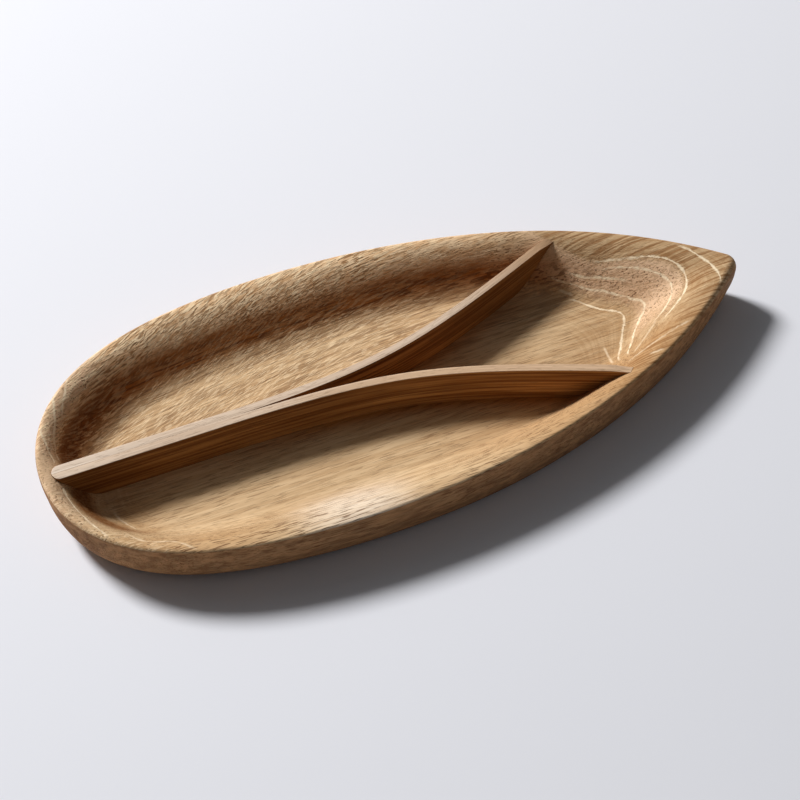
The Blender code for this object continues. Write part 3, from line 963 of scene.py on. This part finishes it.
# Pale bent strips. Their grain follows the bend, through the attribute grainPlace in millimetres.
bentWood = {
    "topLight": (0.71, 0.56, 0.43),
    "topDark": (0.66, 0.50, 0.37),
    "topPale": (0.88, 0.76, 0.64),
    "frontWarm": (0.68, 0.455, 0.28),
    "backWarm": (0.39, 0.225, 0.115),
    # the faces, darker and redder than the tops: painted shade
    "shadedFaceLight": (0.60, 0.30, 0.105),
    "shadedFaceDark": (0.22, 0.078, 0.018),
    "forkShade": (0.14, 0.065, 0.02),
    "streak": (0.42, 0.26, 0.15),
    "shadedFaceStreak": (0.12, 0.038, 0.01),
    "pore": (0.22, 0.12, 0.06),
    "roughness": 0.55,
    "specular": 0.05,
    "bumpDistance": 0.00005,
    "bumpStrength": 0.8,
    # Zones, tones, strokes and shares as the oak's, along and across a strip, with the two
    # strips on either side of zero
    "zones": {
        "top": [("upright", 0.35, 0.8)],
        "back": [("across", -0.005, 0.005)],
        "front": [("back", 0, 1, 1, 0)],
        "frontWarmth": [("along", 60, 150, 0, 0.85)],
        "backWarmth": [("along", 150, 225, 0, 0.9)],
        "paleStern": [("back",), ("along", 55, 20, 0, 0.6)],
        # where the faces get more painted shade: the back strip past the fork, the front strip towards the
        # stern
        "forkward": [("back",), ("along", 150, 185)],
        "sternward": [("front",), ("along", 165, 90)],
        "streaks": [("top", 0, 1, 0.6, 0.28)],
    },
    "tones": {"long": ("bent", 90, 1.5, 1.5, 0.35, 0.65), "patch": ("bent", 60, 8, 8, 0.35, 0.65)},
    "strokes": {
        "streaks": ("bent", 45, 0.8, 0.8, 0.46, 0.6, 0),
        "pores": ("bent", 4.5, 0.4, 0.4, 0.6, 0.68, 5.7),
    },
    "shares": {
        "tone": {"patch": 0.4, "long": 0.6},
        "forkShade": 0.5,
        "sternShade": 0.45,
        "pores": 0.35,
        "rough": {"streaks": 0.1},
        "roughBase": -0.03,
        "bump": {"streaks": -1.0, "pores": -1.0},
    },
}


def bentColour(tree, fields, tones, marks):
    # the tops in their own tones, the faces darker and redder as painted shade with more of it on parts of
    # them, then the streaks and the pores
    shares = bentWood["shares"]
    tone = weighted(tree, tones, shares["tone"])
    top = mixColour(tree, tone, bentWood["topLight"], bentWood["topDark"])
    frontTop = painted(tree, top, bentWood["frontWarm"], fields["frontWarmth"])
    backTop = painted(tree, top, bentWood["backWarm"], fields["backWarmth"])
    top = mixColour(tree, fields["back"], frontTop, backTop)
    top = painted(tree, top, bentWood["topPale"], fields["paleStern"])
    face = mixColour(tree, tone, bentWood["shadedFaceLight"], bentWood["shadedFaceDark"])
    # more painted shade on parts of the faces
    face = painted(tree, face, bentWood["forkShade"], fields["forkward"], shares["forkShade"])
    face = painted(tree, face, bentWood["forkShade"], fields["sternward"], shares["sternShade"])
    streakColour = mixColour(tree, fields["top"], bentWood["shadedFaceStreak"], bentWood["streak"])
    colour = mixColour(tree, fields["top"], face, top)
    colour = painted(tree, colour, streakColour, marks["streaks"], fields["streaks"])
    return painted(tree, colour, bentWood["pore"], marks["pores"], shares["pores"])


def makeBentWood():
    material, tree, shader = newMaterial("paleBentStrip", bentWood["roughness"], bentWood["specular"])
    place = carriedValue(tree, "grainPlace", "Vector")
    along, across, _ = splitVector(tree, place)
    upright = splitVector(tree, tree.nodes.new("ShaderNodeTexCoord").outputs["Normal"])[2]
    fields = {"along": along, "across": across, "upright": upright}
    addZones(tree, fields, bentWood["zones"])
    tones = figures(tree, woodTone, {"bent": place}, bentWood["tones"])
    marks = figures(tree, grainStrokes, {"bent": place}, bentWood["strokes"])
    wire(tree, shader.inputs["Base Color"], bentColour(tree, fields, tones, marks))
    finishShader(tree, shader, marks, bentWood)
    return material


oakMaterial, stripMaterial = makeOak(), makeBentWood()
print("wood materials made")


def carryValues(mesh, name, kind, values):
    # an attribute of the mesh, one value or vector for each vertex
    field = "vector" if kind == "FLOAT_VECTOR" else "value"
    mesh.attributes.new(name, kind, "POINT").data.foreach_set(field, values.astype(np.float32).ravel())


def makeStrip(name, node, side):
    grid = stripGrid(side)
    # millimetres along the strip, across it and up, so that the grain bends with the wood
    step = np.linalg.norm(np.diff(grid[:, -1, :2], axis=0), axis=-1)
    along = np.repeat(np.append(0.0, np.cumsum(step))[:, None], grid.shape[1], axis=1)
    across = side * (np.linalg.norm(grid[..., :2] - grid[:, :1, :2], axis=-1) + strips["grainOffset"])
    mesh = gridMesh(name, grid, capLast=True)
    places = np.stack([along, across, grid[..., 2]], axis=-1) * millimetres
    carryValues(mesh, "grainPlace", "FLOAT_VECTOR", places)
    closeMesh(mesh)
    smoothShade(mesh)
    return addPiece(name, mesh, node, stripMaterial)


def grooved(blank):
    # the blank's mesh with a groove cut for each strip
    cutters = []
    for name, side in (("backGroove", 1.0), ("frontGroove", -1.0)):
        cutter = placed(name, grooveMesh(name, side))
        groove = blank.modifiers.new(name, "BOOLEAN")
        groove.operation, groove.solver, groove.object = "DIFFERENCE", "EXACT", cutter
        cutters.append(cutter)
    bpy.context.view_layer.update()
    cut = bpy.data.meshes.new_from_object(blank.evaluated_get(bpy.context.evaluated_depsgraph_get()))
    for spare in (blank, *cutters):
        bpy.data.objects.remove(spare, do_unlink=True)
    return cut


def makeDish():
    blank = gridMesh("dishBlank", dishGrid(), capFirst=True)
    closeMesh(blank)
    mesh = grooved(placed("dishBlank", blank))
    mesh.name = "carvedDish"
    smoothShade(mesh)

    # each vertex carries the growth field of its end of the tray, and the field's two slopes
    place = np.empty(len(mesh.vertices) * 3, np.float32)
    mesh.vertices.foreach_get("co", place)
    x, y = place.reshape(-1, 3)[:, :2].T.astype(float) * millimetres
    field = np.where(x[:, None] > 0.0, growthField(x, y, growth["bow"]), growthField(x, y, growth["stern"]))
    carryValues(mesh, "growthField", "FLOAT_VECTOR", field)
    # the nearness places the painted shade along the dividers' feet
    carryValues(mesh, "dividerNearness", "FLOAT", dividerNearness(x, y))
    return addPiece("carvedDish", mesh, "carved_dish", oakMaterial)


carvedDish = makeDish()
print("dish carved:", len(carvedDish.data.polygons), "faces")
backStrip = makeStrip("backDivider", "back_divider", 1.0)
frontStrip = makeStrip("frontDivider", "front_divider", -1.0)
print("dividers bent:", len(backStrip.data.polygons) + len(frontStrip.data.polygons), "faces")


# The table, the lamps and the camera
stageSet = {
    "tableReach": 4.0,
    "tableColour": (0.81, 0.815, 0.86),
    "tableRoughness": 0.9,
    "tableSpecular": 0.1,
    "lampDirection": (-0.383, 0.633, 0.673),
    "lampDistance": 2.4,
    "lamps": {"softbox": (0.58, 70.5), "glow": (1.6, 4.0)},  # size and power
    "fillColour": (0.95, 0.975, 1.0),
    "fillLow": 0.020,
    "fillHigh": 0.119,
    "backdrop": (0.88, 0.88, 0.92),
    "lookAt": (-0.00722, -0.0160, 0.022),
    "azimuth": -21.54,
    "elevation": 53.57,
    "roll": -0.32,
    "distance": 0.7417,
    "lens": 90.0,
    "sensorWidth": 36.0,
    "clipStart": 0.01,
}


def makeTable():
    reach = stageSet["tableReach"]
    mesh = bpy.data.meshes.new("table")
    corners = [(-reach, -reach, 0), (reach, -reach, 0), (reach, reach, 0), (-reach, reach, 0)]
    mesh.from_pydata(corners, [], [(0, 1, 2, 3)])
    material, _, shader = newMaterial("palePaper", stageSet["tableRoughness"], stageSet["tableSpecular"])
    shader.inputs["Base Color"].default_value = (*stageSet["tableColour"], 1.0)
    mesh.materials.append(material)
    placed("table", mesh)


def makeLamps():
    # a softbox and the wide glow round it, from the same direction
    direction = Vector(stageSet["lampDirection"]).normalized()
    for name, (size, power) in stageSet["lamps"].items():
        lamp = bpy.data.lights.new(name, "AREA")
        lamp.shape, lamp.size, lamp.energy = "DISK", size, power
        holder = placed(name, lamp)
        holder.location = direction * stageSet["lampDistance"]
        holder.rotation_euler = direction.to_track_quat("Z", "Y").to_euler()


def makeWorld():
    # a soft fill, brighter overhead; the camera and glossy rays see a plain pale backdrop instead
    world = bpy.data.worlds.new("softRoom")
    world.use_nodes = True
    tree = world.node_tree
    tree.nodes.clear()
    rays = tree.nodes.new("ShaderNodeLightPath").outputs
    seen = largest(tree, rays["Is Camera Ray"], rays["Is Glossy Ray"], rays["Is Transmission Ray"])
    fill, backdrop = tree.nodes.new("ShaderNodeBackground"), tree.nodes.new("ShaderNodeBackground")
    fill.inputs["Color"].default_value = (*stageSet["fillColour"], 1.0)
    backdrop.inputs["Color"].default_value = (*stageSet["backdrop"], 1.0)
    overhead = splitVector(tree, tree.nodes.new("ShaderNodeTexCoord").outputs["Generated"])[2]
    strength = ramped(tree, overhead, 0.0, 1.0, stageSet["fillLow"], stageSet["fillHigh"])
    wire(tree, fill.inputs["Strength"], strength)
    choose = tree.nodes.new("ShaderNodeMixShader")
    wireAll(tree, choose, seen, fill.outputs[0], backdrop.outputs[0])
    wire(tree, tree.nodes.new("ShaderNodeOutputWorld").inputs["Surface"], choose.outputs[0])
    bpy.context.scene.world = world


def makeCamera():
    # turned about the look-at point by azimuth, elevation and roll, then drawn back
    camera = bpy.data.cameras.new("camera")
    camera.lens, camera.sensor_width = stageSet["lens"], stageSet["sensorWidth"]
    camera.clip_start = stageSet["clipStart"]
    holder = placed("camera", camera)
    holder.matrix_world = Matrix.Translation(stageSet["lookAt"])
    turns = (("Z", stageSet["azimuth"]), ("X", 90.0 - stageSet["elevation"]), ("Z", stageSet["roll"]))
    for axis, degrees in turns:
        holder.matrix_world = holder.matrix_world @ Matrix.Rotation(math.radians(degrees), 4, axis)
    holder.matrix_world = holder.matrix_world @ Matrix.Translation((0.0, 0.0, stageSet["distance"]))
    bpy.context.scene.camera = holder


makeTable()
makeLamps()
makeWorld()
makeCamera()
bpy.context.scene.view_settings.view_transform = "Standard"
print("table, lamps and camera set")
